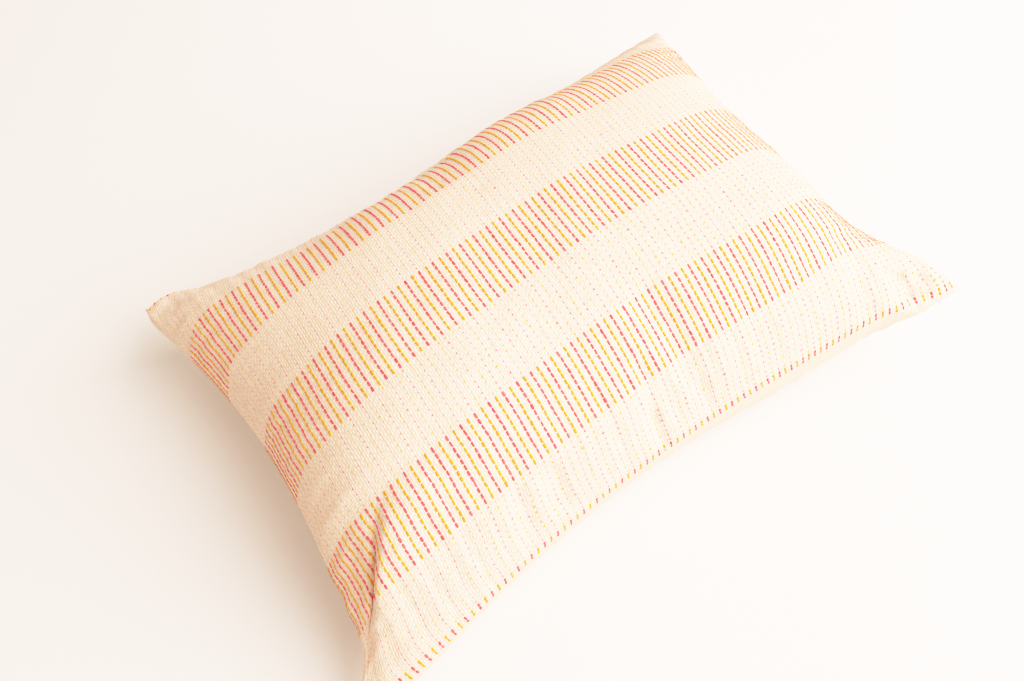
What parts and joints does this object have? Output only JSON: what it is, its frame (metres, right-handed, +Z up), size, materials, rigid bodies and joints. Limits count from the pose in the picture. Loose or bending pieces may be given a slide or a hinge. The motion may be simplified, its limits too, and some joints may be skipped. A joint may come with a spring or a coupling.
{
  "type": "lumbar pillow",
  "caption": "Rectangular stuffed lumbar pillow with a crowned front, drawn-in sides, pointed corners and a knife-edge seam, lying on its back.",
  "frame": {"origin": "under the middle of the cushion, on the surface that it rests on", "axes": "+X along the long side, +Y along the short side away from the viewer, +Z up through the crowned front panel"},
  "size_m": [0.489, 0.342, 0.1471],
  "materials": {
    "cover_cloth": "cream basket-like cotton weave with bands of pink and mustard dashes",
    "pink_yarn": "matt coral pink yarn floats",
    "mustard_yarn": "matt mustard yarn floats"
  },
  "bodies": {
    "root": {"pillow": "cover_cloth"}
  },
  "joints": []
}
